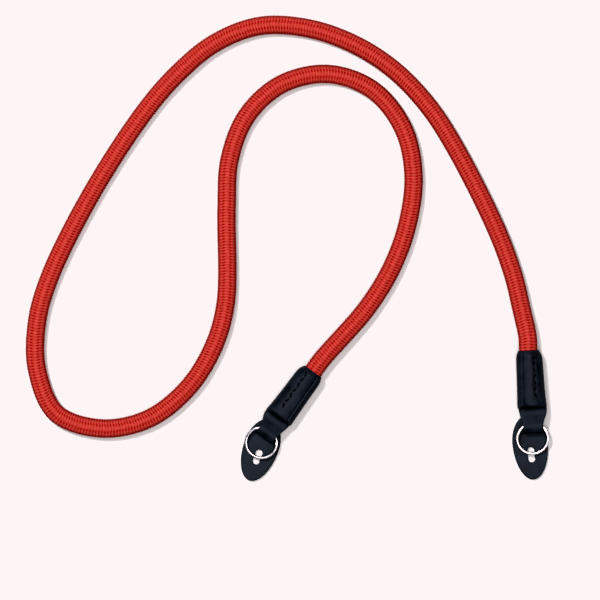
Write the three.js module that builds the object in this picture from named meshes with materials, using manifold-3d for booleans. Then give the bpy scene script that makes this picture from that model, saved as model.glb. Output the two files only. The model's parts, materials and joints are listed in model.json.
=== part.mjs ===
// A camera neck strap: a braided rope with each end sewn into a leather sleeve.
// The sleeve narrows to a doubled tab that folds round a split ring, and a leather pad lies under the ring.
// Millimetres, +Z up. The strap lies on the plane z = 0, with the origin midway between its leather ends.

import * as THREE from "three";
import { mergeVertices } from "three/addons/utils/BufferGeometryUtils.js";
import Module from "manifold-3d";

const wasm = await Module();
wasm.setup();

const GAP = 0.3; // clearance between neighbouring pieces

// Where each leather end lies: its mouth, the way it points, and how its pad lies under the ring.
// A turn of 0 points along -Y, and turns are in degrees, counterclockwise from above.
// outer is the side, along the end's own x, that faces away from the other end.
const ENDS = [
  { side: "left", outer: -1, mouth: [-39.4, 21.2], turn: -36, pad: [-64.9, -16.7], padTurn: -20 },
  { side: "right", outer: 1, mouth: [64, 31.3], turn: 3, pad: [65.4, -15.4], padTurn: 6 },
];

// Rope
const ROPE_DIAMETER = 8.8; // across the flats of its section
const ROPE_SIDES = 12;
const ROPE_STEPS = 66;
const ROPE_IN_SLEEVE = 25; // length held inside each sleeve
const ROPE_RUN_OUT = 7; // straight stretch outside each mouth
const ROPE_LYING = ROPE_DIAMETER / 2 + 0.03; // height of its axis where it lies on the plane
const ROPE_RADIUS = ROPE_DIAMETER / 2 / Math.cos(Math.PI / ROPE_SIDES); // to the corners of its section

// The rope's lie from the right mouth to the left one: x, y, and how far its axis is above ROPE_LYING
const ROPE_LIE = [
  [60.8, 51.5, 0.5],
  [56.8, 68, 0.1],
  [48.6, 90, 0],
  [28, 130.6, 0],
  [15.4, 149.7, 0],
  [-0.9, 166.6, 0],
  [-20.2, 178.9, 0],
  [-42.3, 186.4, 0],
  [-65.2, 187.4, 0],
  [-86.6, 179.2, 0],
  [-104.4, 164.7, 0],
  [-119.8, 147, 0],
  [-145, 108.5, 0],
  [-165.9, 67.1, 0],
  [-172.2, 45, 0],
  [-172.2, 22, 0],
  [-163, 1.2, 0],
  [-141.4, -6.2, 0],
  [-118.8, -1.7, 0],
  [-100.5, 12.3, 0],
  [-88, 31.5, 0],
  [-81.5, 53.6, 0],
  [-81, 99.8, 0],
  [-79.6, 122.9, 0],
  [-71.2, 144.3, 0],
  [-54.4, 159.5, 0],
  [-31.8, 164.3, 0],
  [-10.6, 156.6, 0],
  [3.9, 138.3, 0],
  [8.9, 116.2, 0],
  [6.3, 93.1, 0],
  [-1.4, 71.4, 0.1],
  [-13.5, 51.7, 0.5],
];

// Leather sleeve
const LEATHER = 1.25; // wall
const SLEEVE_MIDDLE = 6.05; // height of the sleeve's axis
const SLEEVE_SIDES = 28;
const FOLD_STEPS = 26;
const POCKET_RADIUS = ROPE_RADIUS + GAP;
const POCKET_DEPTH = ROPE_IN_SLEEVE + GAP;
const TAB_WIDTH = 9.6; // where the ring passes through
const TAB_FLARE = 0.1; // growth of each side's half width for each millimetre nearer the sleeve
const TAB_OUTWARD = 0.4; // how far the fold sits towards the outer side
const FOLD_ALONG = 39.9; // from the mouth to the outside of the fold
const EYE_REACH = 6.6; // from the ring's swing axis back to where the two layers meet

// Split ring, two turns of a flat wire
const RING_OUTER = 8;
const WIRE_WIDTH = 1.2; // along the ring's radius
const WIRE_THICKNESS = 0.8; // along the ring's axis
const WIRE_CHAMFER = 0.22;
const TURN_GAP = 0.12; // between the two turns
const CROSSOVER = THREE.MathUtils.degToRad(24); // half the arc in which the wire climbs to its second turn
const RING_STEPS = 60;
const RING_HALF = WIRE_THICKNESS + TURN_GAP / 2; // half the ring's thickness
const RING_INNER = RING_OUTER - WIRE_WIDTH;

// Leather pad
const PAD_WIDTH = 17;
const PAD_LENGTH = 31.2;
const PAD_THICKNESS = 2;
const PAD_TIP = 17.7; // from its widest place to its tip
const SLOT_WIDTH = 3.4;
const SLOT_LENGTH = 7.4;
const SLOT_DROP = 3.6; // from the pad's middle towards its tip
const CURVE_STEPS = 14;

// The ring swings in the fold about an axis midway through the stretch of wire that the fold covers.
const tabReach = TAB_WIDTH / 2 + TAB_OUTWARD; // of the fold's outer edge from the ring's middle
const ringDip = RING_OUTER - Math.sqrt(RING_INNER ** 2 - tabReach ** 2);
const axisDrop = ringDip / 2; // from the ring's outer edge to the swing axis
const eyeRadius = Math.hypot(axisDrop, RING_HALF) + GAP;
const foldRadius = eyeRadius + LEATHER;
const foldSlope = Math.asin(eyeRadius / EYE_REACH); // of each layer from the meeting point to the fold
const axisAlong = FOLD_ALONG - foldRadius;
const axisHeight = PAD_THICKNESS + GAP + foldRadius;

// The sleeve from its mouth to the fold, a row for each section of rounded form.
// outward is how far its middle lies towards the outer side, so that side runs straight down to the tab.
// A squareness of 2 is an ellipse, and larger values are nearer to a rectangle.
const ROUND_SECTIONS = [
  { along: 0, outward: 0, halfWidth: 5.15, halfHeight: 5.15, squareness: 2 },
  { along: 0.8, outward: 0.06, halfWidth: 5.65, halfHeight: 5.6, squareness: 2.05 },
  { along: 1.8, outward: 0.13, halfWidth: 6.02, halfHeight: 5.9, squareness: 2.1 },
  { along: 3.2, outward: 0.2, halfWidth: 6.25, halfHeight: SLEEVE_MIDDLE, squareness: 2.1 },
  { along: 14, outward: 0.3, halfWidth: 6.45, halfHeight: SLEEVE_MIDDLE, squareness: 2.2 },
  { along: 25, outward: 0.4, halfWidth: 6.8, halfHeight: SLEEVE_MIDDLE, squareness: 2.3 },
  { along: 26.8, outward: 0.45, halfWidth: 6.85, halfHeight: 5.6, squareness: 2.5 },
];
const TAB_SECTIONS = [
  { along: 28, outward: 0.55, halfWidth: 6.75, halfHeight: 3.6, squareness: 3 },
  { along: 29, outward: 0.7, halfWidth: 6.5, halfHeight: 2.2, squareness: 4 },
  { along: 30.2, outward: 0.85, halfWidth: 6.2, halfHeight: 1.7, squareness: 5 },
  { along: 31.2, outward: 0.9, halfWidth: 5.85, halfHeight: 1.6, squareness: 6 },
  { along: 32, outward: 0.75, halfWidth: 5.3, halfHeight: 1.5, squareness: 6 },
];
const sleeveSections = [
  ...ROUND_SECTIONS.map((row) => ({ ...row, middle: SLEEVE_MIDDLE })),
  ...TAB_SECTIONS.map((row) => ({ ...row, middle: axisHeight })),
];

// Materials
const redBraid = new THREE.MeshStandardMaterial({ color: 0xc8281f, roughness: 0.7, metalness: 0 });
const blackLeather = new THREE.MeshStandardMaterial({ color: 0x17181d, roughness: 0.5, metalness: 0 });
const platedSteel = new THREE.MeshStandardMaterial({ color: 0xd9dadc, roughness: 0.2, metalness: 1 });

function toSolid(geometry) {
  geometry.deleteAttribute("normal");
  geometry.deleteAttribute("uv");
  const welded = mergeVertices(geometry, 1e-4);
  const vertProperties = new Float32Array(welded.attributes.position.array);
  const triVerts = new Uint32Array(welded.index.array);
  return new wasm.Manifold(new wasm.Mesh({ numProp: 3, vertProperties, triVerts }));
}

function toGeometry(solid) {
  const mesh = solid.getMesh();
  const geometry = new THREE.BufferGeometry();
  geometry.setAttribute("position", new THREE.BufferAttribute(new Float32Array(mesh.vertProperties), 3));
  geometry.setIndex(new THREE.BufferAttribute(new Uint32Array(mesh.triVerts), 1));
  geometry.computeVertexNormals();
  return geometry;
}

function namedMesh(name, geometry, material) {
  const mesh = new THREE.Mesh(geometry, material);
  mesh.name = name;
  return mesh;
}

// A closed skin through rounded sections that follow each other along -Y
function loft(sections, sides, outer) {
  const positions = [];
  const indices = [];
  for (const { along, outward, halfWidth, halfHeight, middle, squareness } of sections) {
    for (let i = 0; i < sides; i++) {
      const angle = (2 * Math.PI * (i + 0.5)) / sides;
      const across = Math.sign(Math.cos(angle)) * Math.abs(Math.cos(angle)) ** (2 / squareness);
      const up = Math.sign(Math.sin(angle)) * Math.abs(Math.sin(angle)) ** (2 / squareness);
      positions.push(outer * outward + halfWidth * across, -along, middle + halfHeight * up);
    }
  }
  for (let row = 0; row < sections.length - 1; row++) {
    for (let i = 0; i < sides; i++) {
      const a = row * sides + i;
      const b = row * sides + ((i + 1) % sides);
      indices.push(a, b, a + sides, b, b + sides, a + sides);
    }
  }
  const last = (sections.length - 1) * sides;
  for (let i = 1; i < sides - 1; i++) {
    indices.push(0, i + 1, i);
    indices.push(last, last + i, last + i + 1);
  }
  const geometry = new THREE.BufferGeometry();
  geometry.setAttribute("position", new THREE.Float32BufferAttribute(positions, 3));
  geometry.setIndex(indices);
  return geometry;
}

// A bar of teardrop section across the sleeve, round about the swing axis and pointed towards the rope
function teardropBar(radius, width, flare, outward) {
  const section = new THREE.Shape();
  const tangent = Math.PI / 2 - foldSlope;
  section.moveTo(-radius / Math.sin(foldSlope), 0);
  section.lineTo(-radius * Math.cos(tangent), -radius * Math.sin(tangent));
  section.absarc(0, 0, radius, Math.PI + tangent, 3 * Math.PI - tangent);
  const settings = { depth: width, bevelEnabled: false, curveSegments: FOLD_STEPS };
  const bar = new THREE.ExtrudeGeometry(section, settings);
  bar.translate(0, 0, -width / 2);
  const along = new THREE.Vector3(0, -1, 0);
  const up = new THREE.Vector3(0, 0, 1);
  bar.applyMatrix4(new THREE.Matrix4().makeBasis(along, up, new THREE.Vector3().crossVectors(along, up)));
  const corners = bar.attributes.position;
  for (let i = 0; i < corners.count; i++) {
    corners.setX(i, corners.getX(i) * (1 + (flare * corners.getY(i)) / (width / 2)));
  }
  bar.translate(outward, -axisAlong, axisHeight);
  return toSolid(bar);
}

function sleeveGeometry(outer) {
  const margin = 2; // how far a cut runs past the face that it opens
  const slitWidth = 2 * Math.max(...sleeveSections.map((row) => row.outward + row.halfWidth)) + margin;
  const pocketLength = POCKET_DEPTH + margin;
  const pocket = new THREE.CylinderGeometry(POCKET_RADIUS, POCKET_RADIUS, pocketLength, SLEEVE_SIDES);
  pocket.rotateY(Math.PI / SLEEVE_SIDES);
  pocket.translate(0, (margin - POCKET_DEPTH) / 2, SLEEVE_MIDDLE);
  return toGeometry(
    toSolid(loft(sleeveSections, SLEEVE_SIDES, outer))
      .add(teardropBar(foldRadius, TAB_WIDTH, TAB_FLARE, outer * TAB_OUTWARD))
      .subtract(teardropBar(eyeRadius, slitWidth, 0, 0))
      .subtract(toSolid(pocket)),
  );
}

// The wire's middle line: one turn, a climb over the crossover, and a second turn on top of the first
class SplitRingCurve extends THREE.Curve {
  getPoint(t, target = new THREE.Vector3()) {
    const radius = RING_OUTER - WIRE_WIDTH / 2;
    const turn = 2 * Math.PI;
    const angle = CROSSOVER + t * (2 * turn - 2 * CROSSOVER);
    const climb = THREE.MathUtils.smoothstep(angle, turn - CROSSOVER, turn + CROSSOVER) - 0.5;
    const height = climb * (WIRE_THICKNESS + TURN_GAP);
    return target.set(radius * Math.cos(angle), radius * Math.sin(angle), height);
  }
}

// A flat section with cut corners, its thickness along x and its width along y
function wireSection() {
  const x = WIRE_THICKNESS / 2;
  const y = WIRE_WIDTH / 2;
  const cut = WIRE_CHAMFER;
  const corners = [];
  for (const [sx, sy, alongX] of [[1, 1, false], [-1, 1, true], [-1, -1, false], [1, -1, true]]) {
    const sideCut = new THREE.Vector2(sx * x, sy * (y - cut));
    const endCut = new THREE.Vector2(sx * (x - cut), sy * y);
    corners.push(...(alongX ? [endCut, sideCut] : [sideCut, endCut]));
  }
  return new THREE.Shape(corners);
}

// Made flat with its outer edge axisDrop behind the swing axis, so the group that holds it swings it.
function ringGeometry() {
  const settings = { steps: RING_STEPS, bevelEnabled: false, extrudePath: new SplitRingCurve() };
  const ring = new THREE.ExtrudeGeometry(wireSection(), settings);
  ring.translate(0, axisDrop - RING_OUTER, 0);
  return ring;
}

// How far the ring drops from level until its far edge lies just clear of the pad
function ringRest() {
  const reach = 2 * RING_OUTER - axisDrop;
  const drop = axisHeight - PAD_THICKNESS - GAP;
  return Math.asin(drop / Math.hypot(reach, RING_HALF)) - Math.atan2(RING_HALF, reach);
}

function padGeometry() {
  const half = PAD_WIDTH / 2;
  const widest = PAD_TIP - PAD_LENGTH / 2;
  const outline = new THREE.Shape();
  outline.absellipse(0, widest, half, PAD_TIP, Math.PI, 2 * Math.PI);
  outline.absellipse(0, widest, half, PAD_LENGTH - PAD_TIP, 0, Math.PI);
  const slot = new THREE.Path();
  const slotEnd = (SLOT_LENGTH - SLOT_WIDTH) / 2;
  slot.absarc(0, slotEnd - SLOT_DROP, SLOT_WIDTH / 2, 0, Math.PI);
  slot.absarc(0, -slotEnd - SLOT_DROP, SLOT_WIDTH / 2, Math.PI, 2 * Math.PI);
  outline.holes.push(slot);
  return new THREE.ExtrudeGeometry(outline, {
    depth: PAD_THICKNESS,
    bevelEnabled: false,
    curveSegments: CURVE_STEPS,
  });
}

// Points on the axis of a leather end, a distance inside its mouth or, if negative, outside
function onSleeveAxis(end, inside) {
  const turn = THREE.MathUtils.degToRad(end.turn);
  const [mouthX, mouthY] = end.mouth;
  const x = mouthX + inside * Math.sin(turn);
  const y = mouthY - inside * Math.cos(turn);
  return new THREE.Vector3(x, y, SLEEVE_MIDDLE);
}

function ropeGeometry() {
  const [left, right] = ENDS;
  const held = [ROPE_IN_SLEEVE, 0, -ROPE_RUN_OUT];
  const route = [
    ...held.map((inside) => onSleeveAxis(right, inside)),
    ...ROPE_LIE.map(([x, y, rise]) => new THREE.Vector3(x, y, ROPE_LYING + rise)),
    ...held.reverse().map((inside) => onSleeveAxis(left, inside)),
  ];
  const corners = [];
  for (let i = 0; i < ROPE_SIDES; i++) {
    const angle = (2 * Math.PI * (i + 0.5)) / ROPE_SIDES;
    corners.push(new THREE.Vector2(ROPE_RADIUS * Math.cos(angle), ROPE_RADIUS * Math.sin(angle)));
  }
  return new THREE.ExtrudeGeometry(new THREE.Shape(corners), {
    steps: ROPE_STEPS,
    bevelEnabled: false,
    extrudePath: new THREE.CatmullRomCurve3(route, false, "centripetal"),
  });
}

const strap = new THREE.Group();
strap.add(namedMesh("rope", ropeGeometry(), redBraid));

for (const end of ENDS) {
  const leatherEnd = new THREE.Group();
  leatherEnd.position.set(...end.mouth, 0);
  leatherEnd.rotation.z = THREE.MathUtils.degToRad(end.turn);
  leatherEnd.add(namedMesh(`sleeve_${end.side}`, sleeveGeometry(end.outer), blackLeather));

  const ring = namedMesh(`ring_${end.side}`, ringGeometry(), platedSteel);
  ring.position.set(0, -axisAlong, axisHeight);
  ring.rotation.x = ringRest();
  leatherEnd.add(ring);
  strap.add(leatherEnd);

  const pad = namedMesh(`pad_${end.side}`, padGeometry(), blackLeather);
  pad.position.set(...end.pad, 0);
  pad.rotation.z = THREE.MathUtils.degToRad(end.padTurn);
  strap.add(pad);
}

export default strap;
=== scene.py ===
import json
import math

import bmesh
import bpy
import numpy as np
from mathutils import Matrix, Vector

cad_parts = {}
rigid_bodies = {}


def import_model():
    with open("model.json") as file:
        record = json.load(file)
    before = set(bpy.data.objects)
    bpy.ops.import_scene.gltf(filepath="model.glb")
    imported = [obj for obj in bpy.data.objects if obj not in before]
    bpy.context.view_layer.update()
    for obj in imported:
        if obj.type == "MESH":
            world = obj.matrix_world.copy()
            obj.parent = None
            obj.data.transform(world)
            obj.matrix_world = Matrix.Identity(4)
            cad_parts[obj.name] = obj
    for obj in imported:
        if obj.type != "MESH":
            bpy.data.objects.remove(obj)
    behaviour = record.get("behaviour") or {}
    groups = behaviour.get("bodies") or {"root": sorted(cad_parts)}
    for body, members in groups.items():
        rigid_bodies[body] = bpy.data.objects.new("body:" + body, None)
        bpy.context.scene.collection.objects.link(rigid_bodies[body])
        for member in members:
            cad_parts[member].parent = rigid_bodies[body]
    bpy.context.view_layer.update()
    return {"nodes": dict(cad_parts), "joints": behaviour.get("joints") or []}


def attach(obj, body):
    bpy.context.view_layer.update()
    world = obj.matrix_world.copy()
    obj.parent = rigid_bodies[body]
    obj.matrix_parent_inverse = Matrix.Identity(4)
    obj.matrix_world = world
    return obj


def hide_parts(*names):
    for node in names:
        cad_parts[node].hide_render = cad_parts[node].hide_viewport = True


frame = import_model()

# A neck strap of braided rope. Sizes are in mm and angles in degrees, unless a note says otherwise.

mm = 0.001
near = 0.01  # mm, for finding a vertex by its place
print("frame loaded:", ", ".join(sorted(frame["nodes"])))

# Where each leather end lies: its mouth, the way it points from -Y, and its pad.
# outer is the side, along the end's own x, that faces away from the other end.
ends = {
    "left": {"mouth": (-39.4, 21.2), "turn": -36, "outer": -1, "pad": (-64.9, -16.7), "padTurn": -20},
    "right": {"mouth": (64.0, 31.3), "turn": 3, "outer": 1, "pad": (65.4, -15.4), "padTurn": 6},
}


# From millimetres in a piece's own frame to its place in metres
def placedAt(spot, turn):
    x, y = spot
    place = Matrix.Translation((x * mm, y * mm, 0))
    return place @ Matrix.Rotation(math.radians(turn), 4, "Z") @ Matrix.Scale(mm, 4)


def endMatrix(side):
    return placedAt(ends[side]["mouth"], ends[side]["turn"])


# The axis that the ring swings about, in the leather end's own frame
def swingAxis(side):
    joint = next(j for j in frame["joints"] if j["name"] == f"ring_{side}_swing")
    return endMatrix(side).inverted() @ Vector(joint["pos_m"])


# Camera, straight above the strap

cameraSet = {
    "centre": (-45.7, 55.6),  # of the picture
    "height": 2000,           # above the middle of the rope
    "ropeMiddle": 5,
    "frameWidth": 288.6,      # what the picture spans at the rope
    "sensor": 36,
    "clipEnd": 20,            # metres
}


def addCamera():
    x, y = cameraSet["centre"]
    z = cameraSet["height"] + cameraSet["ropeMiddle"]
    bpy.ops.object.camera_add(location=(x * mm, y * mm, z * mm), rotation=(0, 0, 0))
    camera = bpy.context.object
    camera.data.sensor_width = cameraSet["sensor"]
    camera.data.lens = cameraSet["sensor"] * cameraSet["height"] / cameraSet["frameWidth"]
    camera.data.clip_end = cameraSet["clipEnd"]
    bpy.context.scene.camera = camera


addCamera()
print("camera placed")


# Materials

ropeUv = 0.1  # metres of rope to one unit of its UV map
waveBands = 20 / (2 * math.pi)  # of a wave texture in one unit, at scale 1
noiseRange = {"From Min": 0.3, "From Max": 0.7}  # where most values of a noise texture lie


# From sRGB hex to linear
def linear(hexColour):
    parts = [int(hexColour[i:i + 2], 16) / 255 for i in (1, 3, 5)]
    return tuple(c / 12.92 if c <= 0.04045 else ((c + 0.055) / 1.055) ** 2.4 for c in parts) + (1,)


def perMetre(sizeMm):
    return 1000 / sizeMm


def addNode(tree, kind, settings=None, inputs=None):
    made = tree.nodes.new(kind)
    for name, value in (settings or {}).items():
        setattr(made, name, value)
    for name, value in (inputs or {}).items():
        if isinstance(value, bpy.types.NodeSocket):
            tree.links.new(value, made.inputs[name])
        else:
            made.inputs[name].default_value = value
    return made


def startMaterial(name, **sockets):
    material = bpy.data.materials.new(name)
    material.use_nodes = True
    shader = material.node_tree.nodes["Principled BSDF"]
    for socket, value in sockets.items():
        shader.inputs[socket.replace("_", " ")].default_value = value
    return material, material.node_tree, shader


# Braided polyester: bright red floats of yarn with a soft shine, and painted shade that darkens them
# down their flanks and where they dive under each other
yarn = {
    # crest, flank and pit are painted shade by depth: lightest on a float's back, darkest in the pits
    "crest": "#8f4641",
    "flank": "#8a302b",       # painted shade: darker and deeper red down a float's flanks
    "pit": "#500402",
    "flankAt": 0.2,           # of the way from the crest down to the pit
    "pitAt": 0.9,
    "patch": 1.6,             # over which dye and light vary a little
    "patchTint": (0.86, 1.12),
    "filament": 0.29,         # coarser than real ones, so that they show
    "filamentRelief": 0.06,
}


def makeBraidedPolyester():
    material, tree, shader = startMaterial("braidedPolyester", Roughness=0.75, Specular_IOR_Level=0.04)
    uv = addNode(tree, "ShaderNodeUVMap", {"uv_map": "braid"})
    # painted shade, read from the mesh by how deep each point lies in a gap between floats
    hollow = addNode(tree, "ShaderNodeAttribute", {"attribute_name": "hollow"})
    colourRamp = addNode(tree, "ShaderNodeValToRGB", inputs={"Fac": hollow.outputs["Fac"]})
    stops = colourRamp.color_ramp.elements
    stops[0].color = linear(yarn["crest"])
    stops[1].color = linear(yarn["pit"])
    stops[1].position = yarn["pitAt"]
    stops.new(yarn["flankAt"]).color = linear(yarn["flank"])
    patches = addNode(tree, "ShaderNodeTexNoise", inputs={
        "Vector": uv.outputs["UV"], "Scale": perMetre(yarn["patch"]) * ropeUv, "Detail": 2.0})
    low, high = yarn["patchTint"]
    tint = addNode(tree, "ShaderNodeMapRange", inputs={
        "Value": patches.outputs["Fac"], **noiseRange, "To Min": low, "To Max": high})
    colour = addNode(tree, "ShaderNodeHueSaturation", inputs={
        "Color": colourRamp.outputs["Color"], "Value": tint.outputs["Result"]})
    tree.links.new(colour.outputs["Color"], shader.inputs["Base Color"])
    # filaments lie along each float, so across the rope
    filaments = addNode(tree, "ShaderNodeTexWave", {"bands_direction": "Y"}, {
        "Vector": uv.outputs["UV"], "Scale": perMetre(yarn["filament"]) * ropeUv / waveBands,
        "Distortion": 0.6, "Detail": 1.0})
    bump = addNode(tree, "ShaderNodeBump", inputs={
        "Height": filaments.outputs["Fac"], "Strength": 0.35, "Distance": yarn["filamentRelief"] * mm})
    tree.links.new(bump.outputs["Normal"], shader.inputs["Normal"])
    return material


# Finished cowhide, dyed black: fine pebbled grain with a satin coat, bluish where it catches light
cowhide = {
    "dark": "#161c22",
    "light": "#282d34",
    "darkAt": 0.3,            # of the mottle's values
    "lightAt": 0.75,
    "mottle": 5,
    "roughness": (0.55, 0.7),
    "pebble": 0.75,
    "pebbleGroove": 0.25,     # how far into a pebble its rounded edge reaches
    "pebbleRelief": 0.04,
    "pore": 1.8,
    "poreRelief": 0.1,
}


def makeBlackCowhide():
    material, tree, shader = startMaterial("blackCowhide", Specular_IOR_Level=0.15, IOR=1.5)
    place = addNode(tree, "ShaderNodeTexCoord").outputs["Object"]
    mottle = addNode(tree, "ShaderNodeTexNoise", inputs={
        "Vector": place, "Scale": perMetre(cowhide["mottle"]), "Detail": 3.0})
    colourRamp = addNode(tree, "ShaderNodeValToRGB", inputs={"Fac": mottle.outputs["Fac"]})
    for stop, shade in zip(colourRamp.color_ramp.elements, ("dark", "light")):
        stop.color = linear(cowhide[shade])
        stop.position = cowhide[shade + "At"]
    tree.links.new(colourRamp.outputs["Color"], shader.inputs["Base Color"])
    low, high = cowhide["roughness"]
    rough = addNode(tree, "ShaderNodeMapRange", inputs={
        "Value": mottle.outputs["Fac"], **noiseRange, "To Min": low, "To Max": high})
    tree.links.new(rough.outputs["Result"], shader.inputs["Roughness"])
    grain = addNode(tree, "ShaderNodeTexVoronoi", {"feature": "DISTANCE_TO_EDGE"}, {
        "Vector": place, "Scale": perMetre(cowhide["pebble"])})
    pebbles = addNode(tree, "ShaderNodeMapRange", inputs={
        "Value": grain.outputs["Distance"], "From Max": cowhide["pebbleGroove"]})
    pebbleBump = addNode(tree, "ShaderNodeBump", inputs={
        "Height": pebbles.outputs["Result"], "Strength": 0.5, "Distance": cowhide["pebbleRelief"] * mm})
    pores = addNode(tree, "ShaderNodeTexNoise", inputs={
        "Vector": place, "Scale": perMetre(cowhide["pore"]), "Detail": 4.0})
    poreBump = addNode(tree, "ShaderNodeBump", inputs={
        "Height": pores.outputs["Fac"], "Strength": 0.45, "Distance": cowhide["poreRelief"] * mm,
        "Normal": pebbleBump.outputs["Normal"]})
    tree.links.new(poreBump.outputs["Normal"], shader.inputs["Normal"])
    return material


# Nickel-plated spring steel: bright, with the faint haze and rubs of tumbled plating
plating = {"colour": "#a2a2a6", "rub": 2, "roughness": (0.22, 0.36)}


def makeNickelPlate():
    material, tree, shader = startMaterial(
        "nickelPlate", Metallic=1.0, Base_Color=linear(plating["colour"]))
    coords = addNode(tree, "ShaderNodeTexCoord")
    rubs = addNode(tree, "ShaderNodeTexNoise", inputs={
        "Vector": coords.outputs["Object"], "Scale": perMetre(plating["rub"]), "Detail": 2.0})
    low, high = plating["roughness"]
    rough = addNode(tree, "ShaderNodeMapRange", inputs={
        "Value": rubs.outputs["Fac"], **noiseRange, "To Min": low, "To Max": high})
    tree.links.new(rough.outputs["Result"], shader.inputs["Roughness"])
    return material


# Waxed polyester thread, black: twisted, a shade duller and darker than the leather
thread = {"colour": "#060608", "twist": 0.3, "twistRelief": 0.04}


def makeWaxedThread():
    material, tree, shader = startMaterial(
        "waxedThread", Roughness=0.6, Specular_IOR_Level=0.2, Base_Color=linear(thread["colour"]))
    coords = addNode(tree, "ShaderNodeTexCoord")
    twist = addNode(tree, "ShaderNodeTexWave", {"bands_direction": "DIAGONAL"}, {
        "Vector": coords.outputs["Object"], "Scale": perMetre(thread["twist"]) / waveBands})
    bump = addNode(tree, "ShaderNodeBump", inputs={
        "Height": twist.outputs["Fac"], "Strength": 0.4, "Distance": thread["twistRelief"] * mm})
    tree.links.new(bump.outputs["Normal"], shader.inputs["Normal"])
    return material


# Matt backdrop paper: it takes the light evenly, with a trace of fibre
paper = {"colour": "#b4b4b4", "fibre": 2, "fibreRelief": 0.05}


def makeBackdropPaper():
    material, tree, shader = startMaterial(
        "backdropPaper", Roughness=0.9, Specular_IOR_Level=0.1, Base_Color=linear(paper["colour"]))
    coords = addNode(tree, "ShaderNodeTexCoord")
    fibres = addNode(tree, "ShaderNodeTexNoise", inputs={
        "Vector": coords.outputs["Object"], "Scale": perMetre(paper["fibre"]), "Detail": 2.0})
    bump = addNode(tree, "ShaderNodeBump", inputs={
        "Height": fibres.outputs["Fac"], "Strength": 0.05, "Distance": paper["fibreRelief"] * mm})
    tree.links.new(bump.outputs["Normal"], shader.inputs["Normal"])
    return material


braidedPolyester = makeBraidedPolyester()
blackCowhide = makeBlackCowhide()
nickelPlate = makeNickelPlate()
waxedThread = makeWaxedThread()
backdropPaper = makeBackdropPaper()
print("materials made")


# Rope, a round braid of sixteen strands in eight columns of floats that lean by turns to either side

rope = {
    "diameter": 8.8,
    "inSleeve": 25,       # held inside each leather end
    "runOut": 7,          # straight outside each mouth
    "axisInSleeve": 6.05,
    "axisLying": 4.43,
    # x, y, and how far the axis is above where it lies, from the right mouth to the left one
    "lie": [
        (60.8, 51.5, 0.5), (56.8, 68, 0.1), (48.6, 90, 0), (28, 130.6, 0), (15.4, 149.7, 0),
        (-0.9, 166.6, 0), (-20.2, 178.9, 0), (-42.3, 186.4, 0), (-65.2, 187.4, 0), (-86.6, 179.2, 0),
        (-104.4, 164.7, 0), (-119.8, 147, 0), (-145, 108.5, 0), (-165.9, 67.1, 0), (-172.2, 45, 0),
        (-172.2, 22, 0), (-163, 1.2, 0), (-141.4, -6.2, 0), (-118.8, -1.7, 0), (-100.5, 12.3, 0),
        (-88, 31.5, 0), (-81.5, 53.6, 0), (-81, 99.8, 0), (-79.6, 122.9, 0), (-71.2, 144.3, 0),
        (-54.4, 159.5, 0), (-31.8, 164.3, 0), (-10.6, 156.6, 0), (3.9, 138.3, 0), (8.9, 116.2, 0),
        (6.3, 93.1, 0), (-1.4, 71.4, 0.1), (-13.5, 51.7, 0.5),
    ],
    "crestRadius": 4.5,   # the floats stand a little proud of the diameter
    "columns": 8,         # of floats round the rope
    "pitch": 1.4,         # from float to float along a column
    "lean": 0.2,          # of a pitch that a float climbs over its column
    "stagger": 0.25,      # of a pitch between neighbouring columns
    "relief": 0.52,       # from the crest of a float to the pit at its corner
    "midGap": 0.38,       # share of that depth between two floats in the middle of a column
    "edgeDrop": 0.45,     # share of it that a float dives at its column's edge
    "midDark": 0.18,      # share of the pits' painted shade that shows in the middle of a column
    "backPower": 0.7,     # below 1, so floats have broad backs and narrow gaps
    "edgePower": 0.6,     # the same across a column
    "acrossColumn": 4,    # faces over a column and along a float
    "alongFloat": 4,
    "plainEnd": 22.5,     # without floats, deep in the sleeve
    "plainRows": (0, 0.4, 0.8),  # of that stretch
    "plainDepth": 0.5,    # share of the relief and of the painted shade there
    "pathPoints": 400,
    "lengthM": 0.94,      # metres
}


def onSleeveAxis(side, inside):
    turn = math.radians(ends[side]["turn"])
    x, y = ends[side]["mouth"]
    return (x + inside * math.sin(turn), y - inside * math.cos(turn), rope["axisInSleeve"])


def ropeRoute():
    held = [rope["inSleeve"], 0, -rope["runOut"]]
    route = [onSleeveAxis("right", inside) for inside in held]
    route += [(x, y, rope["axisLying"] + rise) for x, y, rise in rope["lie"]]
    route += [onSleeveAxis("left", inside) for inside in reversed(held)]
    return np.array(route, float)


# A smooth line through the points, each span a cubic whose knots are spaced by the root of the chord
def smoothLine(points, perSpan=60):
    padded = np.vstack([2 * points[0] - points[1], points, 2 * points[-1] - points[-2]])
    share = np.linspace(0, 1, perSpan, endpoint=False)[:, None]
    square, cube = share ** 2, share ** 3
    line = []
    for before, start, stop, after in zip(padded, padded[1:], padded[2:], padded[3:]):
        chords = (start - before, stop - start, after - stop)
        a, b, c = (math.sqrt(np.linalg.norm(chord)) for chord in chords)
        leave = b * ((start - before) / a - (stop - before) / (a + b) + (stop - start) / b)
        arrive = b * ((stop - start) / b - (after - start) / (b + c) + (after - stop) / c)
        line.append(
            (2 * cube - 3 * square + 1) * start + (cube - 2 * square + share) * leave
            + (3 * square - 2 * cube) * stop + (cube - square) * arrive)
    line.append(points[-1:])
    return np.vstack(line)


def valuesAt(places, along, values):
    return np.stack([np.interp(places, along, values[:, k]) for k in range(3)], axis=-1)


def unit(vectors):
    return vectors / np.linalg.norm(vectors, axis=-1, keepdims=True)
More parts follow.
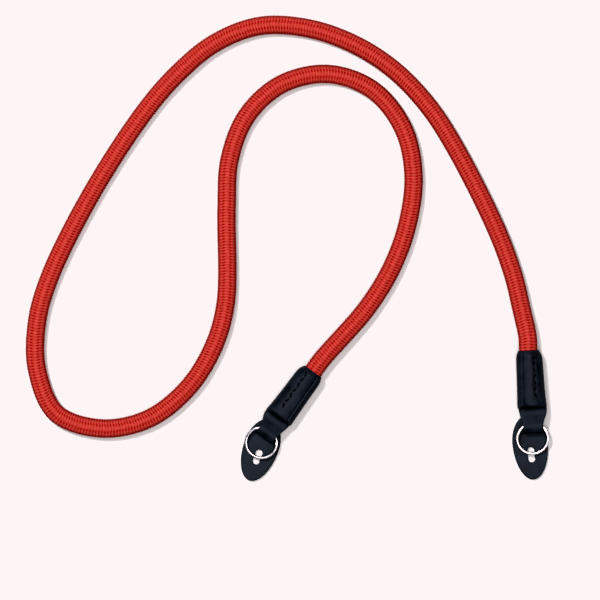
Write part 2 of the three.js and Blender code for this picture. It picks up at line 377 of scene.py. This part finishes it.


# The braid's skin: where its rows lie along the rope, its points, and how much painted shade darkens
# each
def braidSkin(line, along):
    total = along[-1]
    plain = rope["plainEnd"] * np.array(rope["plainRows"])
    braided = np.arange(rope["plainEnd"], total - rope["plainEnd"], rope["pitch"] / rope["alongFloat"])
    rows = np.concatenate([plain, braided, total - plain[::-1]])
    isBraided = ((rows > plain[-1]) & (rows < total - plain[-1]))[:, None]
    phase = (np.arange(len(rows)) - len(plain))[:, None] / rope["alongFloat"]

    # rows run round the rope in a zigzag that follows the lean of the floats
    around = np.arange(rope["columns"] * rope["acrossColumn"])
    column = around // rope["acrossColumn"]
    across = (around % rope["acrossColumn"]) / rope["acrossColumn"]
    lean = np.where(column % 2 == 0, across - 0.5, 0.5 - across)
    place = rows[:, None] + isBraided * lean * rope["pitch"] * rope["lean"]

    beat = (phase + (column % 2) * rope["stagger"]) % 1
    crest = np.sin(math.pi * beat) ** rope["backPower"]
    edge = 1 - np.sin(math.pi * across) ** rope["edgePower"]
    gap = (1 - crest) * (rope["midGap"] + (1 - rope["midGap"]) * edge)
    depth = gap + crest * edge * rope["edgeDrop"]
    # painted shade: dark in the gaps and most in the pits; a float that dives at its column's edge keeps
    # its own colour all the same
    hollow = (1 - crest) * (rope["midDark"] + (1 - rope["midDark"]) * edge)
    depth, hollow = (np.where(isBraided, share, rope["plainDepth"]) for share in (depth, hollow))

    ahead = np.gradient(line, along, axis=0)
    aheadAt = unit(valuesAt(place, along, ahead))
    sideAt = unit(valuesAt(place, along, np.cross((0, 0, 1), ahead)))
    upAt = np.cross(aheadAt, sideAt)
    turned = math.pi / 2 - math.pi / rope["columns"]  # so that one column runs along the top
    angle = (turned + 2 * math.pi * around / len(around))[:, None]
    outwards = np.cos(angle) * sideAt + np.sin(angle) * upAt
    radius = rope["crestRadius"] - rope["relief"] * depth
    skin = valuesAt(place, along, line) + radius[..., None] * outwards
    return rows, skin, hollow


def braidMesh(rows, skin, hollow):
    count, perRow = hollow.shape
    i, j = np.meshgrid(np.arange(count - 1), np.arange(perRow), indexing="ij")
    corners = [(i, j), (i, j + 1), (i + 1, j + 1), (i + 1, j)]
    quads = np.stack([row * perRow + spot % perRow for row, spot in corners], axis=-1)
    firstRow = list(range(perRow))
    lastRow = list(range((count - 1) * perRow, count * perRow))
    faces = quads.reshape(-1, 4).tolist() + [firstRow[::-1], lastRow]
    mesh = bpy.data.meshes.new("braidedRope")
    mesh.from_pydata((skin.reshape(-1, 3) * mm).tolist(), [], faces)
    # the painted shade of each point, which the material reads
    paintedShadeValues = mesh.attributes.new("hollow", "FLOAT", "POINT").data
    paintedShadeValues.foreach_set("value", hollow.astype(np.float32).ravel())

    # unwrapped as it is braided: round the rope, and along it by rows
    roundMm = np.arange(perRow + 1) * math.pi * rope["diameter"] / perRow
    flat = np.stack([np.stack([roundMm[spot], rows[row]], axis=-1) for row, spot in corners], axis=2)
    uvs = np.concatenate([flat.reshape(-1, 2) * mm / ropeUv, np.zeros((2 * perRow, 2))])
    mesh.uv_layers.new(name="braid").data.foreach_set("uv", uvs.astype(np.float32).ravel())
    mesh.polygons.foreach_set("use_smooth", [True] * len(mesh.polygons))
    return mesh


def makeRope():
    line = smoothLine(ropeRoute())
    steps = np.linalg.norm(np.diff(line, axis=0), axis=1)
    along = np.concatenate([[0], np.cumsum(steps)])
    mesh = braidMesh(*braidSkin(line, along))
    mesh.materials.append(braidedPolyester)
    piece = bpy.data.objects.new("braidedRope", mesh)
    bpy.context.scene.collection.objects.link(piece)

    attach(piece, "strap")
    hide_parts("rope")


makeRope()


# Work in edit mode


def startPiece(addPrimitive, **settings):
    bpy.ops.object.select_all(action="DESELECT")
    addPrimitive(**settings)
    bpy.ops.object.mode_set(mode="EDIT")
    bpy.ops.mesh.select_all(action="SELECT")
    return bpy.context.object


def pick(kind, test):
    mesh = bpy.context.object.data
    bpy.ops.mesh.select_mode(type={"verts": "VERT", "edges": "EDGE", "faces": "FACE"}[kind])
    bpy.ops.mesh.select_all(action="DESELECT")
    edited = bmesh.from_edit_mesh(mesh)
    edited.normal_update()
    for element in getattr(edited, kind):
        if test(element):
            element.select_set(True)
    edited.select_flush_mode()
    bmesh.update_edit_mesh(mesh)


# Scales what is picked to a half width and half height; a depth of 0 makes it flat along y
def fitPicked(halfWidth, halfHeight, centre, depth=1):
    edited = bmesh.from_edit_mesh(bpy.context.object.data)
    xs, _, zs = zip(*(v.co for v in edited.verts if v.select))
    scale = (2 * halfWidth / (max(xs) - min(xs)), depth, 2 * halfHeight / (max(zs) - min(zs)))
    bpy.ops.transform.resize(value=scale, center_override=centre)


def facesOutwards():
    bpy.ops.mesh.select_all(action="SELECT")
    bpy.ops.mesh.normals_make_consistent(inside=False)


def subdivideSurface(piece, levels):
    smoother = piece.modifiers.new("subdivision", "SUBSURF")
    smoother.levels = levels
    smoother.render_levels = levels
    bpy.ops.object.modifier_apply(modifier=smoother.name)


# The model itself for one end, and a copy with its own mesh for the other
def forBothEnds(model):
    bpy.ops.object.duplicate()
    return zip(ends, (model, bpy.context.object))


def settle(piece, name, matrix, material, body, slot, *nodes):
    bpy.ops.object.select_all(action="DESELECT")
    piece.select_set(True)
    bpy.context.view_layer.objects.active = piece
    piece.name = name
    piece.data.name = name
    piece.matrix_world = matrix
    bpy.ops.object.transform_apply(location=True, rotation=True, scale=True)
    piece.data.materials.clear()
    piece.data.materials.append(material)
    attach(piece, body)
    if nodes:
        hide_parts(*nodes)


# Split ring: flat wire wound twice, with a short climb from the first turn to the second.
# Its sizes go together with those of the tab that folds round it.

ring = {
    "outer": 8.0,
    "wireWidth": 1.2,
    "wireThick": 0.8,
    "edgeRound": 0.25,
    "turnGap": 0.12,
    "climbHalf": 24,     # to each side of the climb's middle
    "flatSteps": 62,
    "climbSteps": 12,
    "sharpFrom": 50,     # faces that meet at less are shaded smooth
}
tab = {
    "wall": 1.25,        # of the leather
    "half": 4.8,         # half width at the fold
    "outward": 0.4,      # how far the fold sits towards the outer side
    "room": 0.3,         # between the leather and the wire
    "eyeReach": 6.6,     # from the swing axis back to where the two layers meet
}

# The swing axis is midway through the stretch of wire that the fold covers
ringHalf = ring["wireThick"] + ring["turnGap"] / 2  # half the ring's thickness
covered = tab["half"] + tab["outward"]              # from the ring's middle to the fold's outer edge
dip = ring["outer"] - math.sqrt((ring["outer"] - ring["wireWidth"]) ** 2 - covered ** 2)
axisDrop = dip / 2                                  # from the ring's outer edge to the axis
eyeRadius = math.hypot(axisDrop, ringHalf) + tab["room"]
foldSlope = math.asin(eyeRadius / tab["eyeReach"])  # radians, of each layer between tab and fold

# At rest the ring's far edge lies as low as the fold
ringReach = 2 * ring["outer"] - axisDrop
farCorner = math.hypot(ringReach, ringHalf)
foldRadius = eyeRadius + tab["wall"]
restTilt = math.asin(foldRadius / farCorner) - math.atan2(ringHalf, ringReach)  # radians


def makeRing():
    piece = startPiece(bpy.ops.mesh.primitive_plane_add, size=1)
    bpy.ops.transform.resize(value=(ring["wireWidth"], ring["wireThick"], 1))
    bpy.ops.mesh.bevel(offset=ring["edgeRound"], segments=3, affect="VERTICES")
    bpy.ops.transform.rotate(value=math.pi / 2, orient_axis="X", center_override=(0, 0, 0))
    lift = ring["wireThick"] + ring["turnGap"]
    bpy.ops.transform.translate(value=(ring["outer"] - ring["wireWidth"] / 2, 0, -lift / 2))

    def wind(steps, angle):
        bpy.ops.mesh.spin(steps=steps, angle=math.radians(angle), center=(0, 0, 0), axis=(0, 0, 1))

    climb = 2 * ring["climbHalf"]
    wind(ring["flatSteps"], 360 - climb)
    done = 0
    for share in np.linspace(0, 1, ring["climbSteps"] + 1)[1:]:
        risen = lift * share * share * (3 - 2 * share)  # starts and ends level
        wind(1, climb / ring["climbSteps"])
        bpy.ops.transform.translate(value=(0, 0, risen - done))
        done = risen
    wind(ring["flatSteps"], 360 - climb)
    facesOutwards()
    bpy.ops.object.mode_set(mode="OBJECT")
    bpy.ops.object.shade_smooth_by_angle(angle=math.radians(ring["sharpFrom"]))
    return piece


def inFold(side):
    tilt = Matrix.Rotation(restTilt, 4, "X")
    hang = Matrix.Translation((0, axisDrop - ring["outer"], 0))
    start = Matrix.Rotation(math.radians(ring["climbHalf"]), 4, "Z")
    return endMatrix(side) @ Matrix.Translation(swingAxis(side)) @ tilt @ hang @ start


for side, piece in forBothEnds(makeRing()):
    node = f"ring_{side}"
    settle(piece, f"splitRing_{side}", inFold(side), nickelPlate, node, "plated_steel", node)
print("rings wound")


# Leather sleeve: it wraps the rope's end, narrows to a tab of two layers and folds round the ring

sleeve = {
    "columns": (-0.75, -0.5, -0.25, 0, 0.25, 0.5, 0.75),  # cuts across a section of 2 by 2
    "rows": (-0.61, -0.22, 0, 0.22, 0.61),
    "layerEdge": 0.22,     # the row where each of the tab's two layers begins
    # along from the mouth, middle towards the outer side, half width, half height,
    # how far the middle has come down from the rope's axis to the ring's, and roundness, both 0 to 1
    "sections": [
        (0.0, 0.0, 4.98, 4.95, 0, 1),
        (0.4, 0.04, 5.16, 5.14, 0, 1),
        (1.0, 0.1, 5.47, 5.43, 0, 1),
        (1.9, 0.2, 5.97, 5.82, 0, 1),
        (3.4, 0.3, 6.38, 6.04, 0, 1),
        (8.0, 0.33, 6.48, 6.05, 0, 0.97),
        (14.0, 0.32, 6.55, 6.05, 0, 0.94),
        (20.0, 0.34, 6.75, 6.05, 0, 0.92),
        (24.6, 0.38, 6.98, 6.05, 0, 0.88),
        (26.0, 0.42, 7.05, 5.96, 0.25, 0.8),
        (26.7, 0.46, 7.08, 5.6, 0.5, 0.7),
        (27.2, 0.51, 7.05, 4.6, 0.75, 0.55),
        (27.6, 0.57, 6.98, 3.2, 1, 0.4),
        (28.1, 0.65, 6.88, 2.15, 1, 0.25),
        (29.0, 0.74, 6.72, 1.72, 1, 0.1),
        (30.4, 0.78, 6.46, 1.6, 1, 0),
    ],
    # along, outward and half width, where both layers turn in to the fold
    "shoulder": (31.9, 0.68, 5.92),
    "foldSteps": 14,
    "sideLine": (28.0, 30.3),  # where the two layers show as a line along the tab's sides
    "sideLineDepth": 0.45,
    "creaseColumn": 0.75,      # of the section, towards the inner side
    "crease": (0.8, 28.4),     # from and to, along from the mouth
    "creaseWidth": 0.45,
    "creaseDepth": 0.85,
    # how far outside the mouth, and radius, from the rim down to the end of the pocket
    "pocket": [
        (0.1, 4.78), (0.03, 4.66), (-0.4, 4.62), (-3, 4.62), (-14, 4.62), (-24.7, 4.62), (-25.3, 4.3),
    ],
    "smoothLevels": 2,
}

# Stitches of thick thread, which lean by turns to either side and pull the leather into a channel
stitch = {
    "side": 2.1,           # from the axis towards the outer side
    "from": 3.2,           # along from the mouth
    "to": 21.4,
    "count": 7,
    "length": 2.7,
    "thick": 0.9,
    "slant": 22,
    "segments": 10,
    "rings": 8,
    "channelHalf": 0.6,
    "channelDepth": 0.22,
    "castFrom": 30,        # height from which each is let down onto the leather
}


def cutBlock(outer):
    length = sleeve["sections"][-1][0]
    bpy.ops.transform.resize(value=(1, length / 2, 1))
    bpy.ops.transform.translate(value=(0, -length / 2, 0))
    cuts = [((x, 0, 0), (1, 0, 0)) for x in sleeve["columns"]]
    cuts += [((0, 0, z), (0, 0, 1)) for z in sleeve["rows"]]
    cuts += [((0, -row[0], 0), (0, 1, 0)) for row in sleeve["sections"][1:-1]]
    for spot, normal in cuts:
        bpy.ops.mesh.select_all(action="SELECT")
        bpy.ops.mesh.bisect(plane_co=spot, plane_no=normal, threshold=1e-5)
    # a line of edges on top, towards the inner side, is marked for the crease
    creaseX = -outer * sleeve["creaseColumn"]

    def onCrease(v):
        return abs(v.co.z - 1) < near and abs(v.co.x - creaseX) < near

    pick("edges", lambda e: all(onCrease(v) for v in e.verts))
    bpy.ops.mesh.mark_seam()
    # the mouth is open
    pick("faces", lambda f: abs(f.calc_center_median().y) < near)
    bpy.ops.mesh.delete(type="FACE")


def shapeSections(outer, axisHeight):
    ropeHeight = rope["axisInSleeve"]
    for along, outward, halfWidth, halfHeight, comeDown, roundness in sleeve["sections"]:
        pick("verts", lambda v: abs(v.co.y + along) < near)
        if roundness:
            bpy.ops.transform.tosphere(value=roundness)
        fitPicked(halfWidth, halfHeight, (0, -along, 0))
        middle = ropeHeight + comeDown * (axisHeight - ropeHeight)
        bpy.ops.transform.translate(value=(outer * outward, 0, middle))


# The upper layer leaves the tab, goes round the ring and comes back into the lower one
def foldRoundRing(outer, axisAlong, axisHeight):
    length, capOutward, capHalf, capTall = sleeve["sections"][-1][:4]
    midRadius = eyeRadius + tab["wall"] / 2
    tangentAlong = axisAlong - midRadius * math.sin(foldSlope)
    tangentRise = midRadius * math.cos(foldSlope)
    layerEdge = capTall * sleeve["layerEdge"]
    layerRise = (capTall + layerEdge) / 2
    # along, outward and half width at the tab's end, at the shoulder and where the fold begins
    cap = (length, capOutward, capHalf)
    shoulder = sleeve["shoulder"]
    tangent = (tangentAlong, tab["outward"], tab["half"])
    shoulderRise = (tangentRise - layerRise) * (shoulder[0] - length) / (tangentAlong - length)

    def pickLayer(way):
        def onLayer(face):
            spot = face.calc_center_median()
            return abs(spot.y + length) < near and (spot.z - axisHeight) * way > layerEdge
        pick("faces", onLayer)

    def drawOut(start, stop, rise):
        move = (outer * (stop[1] - start[1]), start[0] - stop[0], rise)
        bpy.ops.mesh.extrude_region_move(TRANSFORM_OT_translate={"value": move})
        widen = (stop[2] / start[2], 1, 1)
        bpy.ops.transform.resize(value=widen, center_override=(outer * stop[1], 0, 0))

    pickLayer(1)
    drawOut(cap, shoulder, shoulderRise)
    drawOut(shoulder, tangent, tangentRise - layerRise - shoulderRise)
    tangentPoint = (0, -tangentAlong, axisHeight + tangentRise)
    bpy.ops.transform.rotate(value=foldSlope, orient_axis="X", center_override=tangentPoint)
    bpy.ops.mesh.spin(steps=sleeve["foldSteps"], angle=math.pi + 2 * foldSlope, axis=(-1, 0, 0),
                      center=(0, -axisAlong, axisHeight))
    bpy.ops.mesh.delete(type="FACE")
    pickLayer(-1)
    drawOut(cap, shoulder, -shoulderRise)
    bpy.ops.mesh.delete(type="FACE")
    pick("edges", lambda e: e.is_boundary and e.verts[0].co.y < -length)
    bpy.ops.mesh.bridge_edge_loops()


# A line between the two layers along the tab's sides
def partLayers(axisHeight):
    start, stop = sleeve["sideLine"]
    for way in (1, -1):
        pick("verts", lambda v: start < -v.co.y < stop and abs(v.co.z - axisHeight) < near
             and v.co.x * way > tab["half"])
        bpy.ops.transform.translate(value=(-way * sleeve["sideLineDepth"], 0, 0))


# A crease pressed in where the leather turns down on the inner side
def pressCrease():
    start, stop = sleeve["crease"]
    pick("edges", lambda e: e.seam and all(start < -v.co.y < stop for v in e.verts))
    bpy.ops.mesh.bevel(offset=sleeve["creaseWidth"], segments=2, affect="EDGES")
    bpy.ops.mesh.select_mode(type="VERT")
    bpy.ops.mesh.select_less()
    bpy.ops.transform.shrink_fatten(value=-sleeve["creaseDepth"])


# The mouth's rim turns in and the pocket runs down to the rope's end
def turnInMouth():
    pick("edges", lambda e: e.is_boundary)
    for outside, radius in sleeve["pocket"]:
        bpy.ops.mesh.extrude_edges_move()
        fitPicked(radius, radius, (0, 0, rope["axisInSleeve"]), depth=0)
        bpy.ops.transform.translate(value=(0, outside, 0))
    bpy.ops.mesh.edge_face_add()


def sinkChannel(outer):
    line = outer * stitch["side"]

    def inChannel(v):
        onTop = v.normal.z > 0 and v.co.z > rope["axisInSleeve"]
        beside = abs(v.co.x - line) < stitch["channelHalf"]
        return onTop and beside and stitch["from"] < -v.co.y < stitch["to"]

    bpy.ops.object.mode_set(mode="EDIT")
    pick("verts", inChannel)
    bpy.ops.transform.shrink_fatten(value=-stitch["channelDepth"])
    bpy.ops.mesh.select_more()
    bpy.ops.mesh.vertices_smooth(factor=0.5, repeat=2)
    bpy.ops.object.mode_set(mode="OBJECT")


def makeSleeve(side):
    outer = ends[side]["outer"]
    _, axisY, axisHeight = swingAxis(side)
    piece = startPiece(bpy.ops.mesh.primitive_cube_add, size=2)
    cutBlock(outer)
    shapeSections(outer, axisHeight)
    foldRoundRing(outer, -axisY, axisHeight)
    partLayers(axisHeight)
    pressCrease()
    turnInMouth()
    facesOutwards()
    bpy.ops.object.mode_set(mode="OBJECT")
    subdivideSurface(piece, sleeve["smoothLevels"])
    sinkChannel(outer)
    bpy.ops.object.shade_smooth()
    return piece


def makeStitches(side, leather):
    outer = ends[side]["outer"]
    one = startPiece(bpy.ops.mesh.primitive_uv_sphere_add, segments=stitch["segments"],
                     ring_count=stitch["rings"], radius=1)
    bpy.ops.transform.resize(value=(stitch["thick"] / 2, stitch["length"] / 2, stitch["thick"] / 2))
    bpy.ops.object.mode_set(mode="OBJECT")
    bpy.ops.object.shade_smooth()
    made = [one]
    while len(made) < stitch["count"]:
        bpy.ops.object.duplicate()
        made.append(bpy.context.object)
    places = np.linspace(stitch["from"], stitch["to"], stitch["count"])
    for count, (one, along) in enumerate(zip(made, places)):
        above = (outer * stitch["side"], -along, stitch["castFrom"])
        _, spot, normal, _ = leather.ray_cast(above, (0, 0, -1))
        tilt = Vector((0, 0, 1)).rotation_difference(normal).to_matrix().to_4x4()
        slant = Matrix.Rotation(math.radians(stitch["slant"]) * (-1) ** count, 4, "Z")
        one.matrix_world = Matrix.Translation(spot) @ tilt @ slant
        one.select_set(True)
    bpy.context.view_layer.objects.active = made[0]
    bpy.ops.object.transform_apply(location=True, rotation=True, scale=True)
    bpy.ops.object.join()
    return made[0]


for side in ends:
    leather = makeSleeve(side)
    sewn = makeStitches(side, leather)
    place = endMatrix(side)
    settle(leather, f"leatherSleeve_{side}", place, blackCowhide, "strap", "black_leather",
           f"sleeve_{side}")
    settle(sewn, f"stitches_{side}", place, waxedThread, "strap", "black_leather")
print("sleeves wrapped and sewn")


# Leather pad under each ring, with a slot

pad = {
    "width": 17,
    "length": 31.2,
    "thick": 2,
    "tip": 17.7,        # from its widest place to its tip
    "slotWidth": 3.4,
    "slotLength": 7.4,
    "slotDrop": 3.6,    # towards the tip
    "edgeRound": 0.6,
    "edgeFrom": 60,     # edges that turn by more are rounded
    "sharpFrom": 40,    # faces that meet at less are shaded smooth
    "points": 64,       # of each outline
}


def makePad():
    half = pad["width"] / 2
    halfStep = math.pi / pad["points"]
    circle = {"vertices": pad["points"], "rotation": (0, 0, halfStep)}
    piece = startPiece(bpy.ops.mesh.primitive_circle_add, radius=half, **circle)
    bpy.ops.object.mode_set(mode="OBJECT")
    bpy.ops.object.transform_apply(rotation=True)
    bpy.ops.object.mode_set(mode="EDIT")
    # the circle is drawn out to an oval, longer on the side of the tip
    for way, reach in ((-1, pad["tip"]), (1, pad["length"] - pad["tip"])):
        pick("verts", lambda v: v.co.y * way > 0)
        bpy.ops.transform.resize(value=(1, reach / half, 1), center_override=(0, 0, 0))
    bpy.ops.mesh.select_all(action="SELECT")
    bpy.ops.transform.translate(value=(0, pad["tip"] - pad["length"] / 2, 0))

    # a second circle is parted to a slot
    slotRadius = pad["slotWidth"] / 2
    bpy.ops.mesh.select_all(action="DESELECT")
    bpy.ops.mesh.primitive_circle_add(radius=slotRadius, **circle)
    for way in (1, -1):
        pick("verts", lambda v: v.co.length < slotRadius + near and v.co.y * way > 0)
        bpy.ops.transform.translate(value=(0, way * (pad["slotLength"] - pad["slotWidth"]) / 2, 0))
    pick("verts", lambda v: v.co.length < pad["slotLength"])
    bpy.ops.transform.translate(value=(0, -pad["slotDrop"], 0))

    bpy.ops.mesh.select_mode(type="EDGE")
    bpy.ops.mesh.select_all(action="SELECT")
    bpy.ops.mesh.bridge_edge_loops(number_cuts=4, interpolation="LINEAR")
    bpy.ops.mesh.select_all(action="SELECT")
    bpy.ops.mesh.extrude_region_move(TRANSFORM_OT_translate={"value": (0, 0, pad["thick"])})
    facesOutwards()
    bpy.ops.mesh.select_mode(type="EDGE")
    bpy.ops.mesh.select_all(action="DESELECT")
    bpy.ops.mesh.edges_select_sharp(sharpness=math.radians(pad["edgeFrom"]))
    bpy.ops.mesh.bevel(offset=pad["edgeRound"], segments=4, affect="EDGES")
    bpy.ops.object.mode_set(mode="OBJECT")
    bpy.ops.object.shade_smooth_by_angle(angle=math.radians(pad["sharpFrom"]))
    return piece


for side, piece in forBothEnds(makePad()):
    place = placedAt(ends[side]["pad"], ends[side]["padTurn"])
    settle(piece, f"leatherPad_{side}", place, blackCowhide, "strap", "black_leather", f"pad_{side}")
print("pads cut")


# Floor and studio light, in metres

studio = {
    "floorSize": 12,
    "floorDrop": 0.1 * mm,    # under the strap, so that no two faces share a plane
    "paperWhite": "#fdf4f5",  # what the brightest paper comes out as
    # light in, light out
    "contrast": [(0, 0), (0.05, 0.005), (0.11, 0.034), (0.25, 0.144), (0.5, 0.379), (1, 1)],
    "worldStrength": 0.14,
    # each soft light: its place from the middle of the picture, its size and its power in watts
    "lights": {
        "key": ((-0.55, 0.58, 1.65), 0.34, 50),  # up and to the left, so shadows fall to the lower right
        "fill": ((0.2, -0.25, 2.3), 1.3, 82),
    },
}


def addFloor():
    low = (0, 0, -studio["floorDrop"])
    floor = startPiece(bpy.ops.mesh.primitive_plane_add, size=studio["floorSize"], location=low)
    bpy.ops.object.mode_set(mode="OBJECT")
    floor.name = "floor"
    floor.data.name = "floor"
    floor.data.materials.append(backdropPaper)


def addSoftLight(name, offset, size, power):
    x, y = cameraSet["centre"]
    target = Vector((x * mm, y * mm, 0))
    bpy.ops.object.light_add(type="AREA", location=target + Vector(offset))
    light = bpy.context.object
    light.name = name
    light.data.size = size
    light.data.energy = power
    light.rotation_euler = (-Vector(offset)).to_track_quat("-Z", "Y").to_euler()


def addWorld():
    world = bpy.data.worlds.new("studio")
    world.use_nodes = True
    background = world.node_tree.nodes["Background"]
    background.inputs["Color"].default_value = (1, 1, 1, 1)
    background.inputs["Strength"].default_value = studio["worldStrength"]
    bpy.context.scene.world = world


# The paper is lit past white and the darks are held down, as in a picture for a shop page
def setContrast():
    view = bpy.context.scene.view_settings
    view.view_transform = "Standard"
    view.use_curve_mapping = True
    view.curve_mapping.extend = "HORIZONTAL"
    for curve, white in zip(view.curve_mapping.curves, linear(studio["paperWhite"])[:3]):
        for lightIn, lightOut in studio["contrast"][1:-1]:
            curve.points.new(lightIn, lightOut * white)
        curve.points[-1].location = (1, white)
    view.curve_mapping.update()


addFloor()
for name, (offset, size, power) in studio["lights"].items():
    addSoftLight(name, offset, size, power)
addWorld()
setContrast()
print("studio lit")
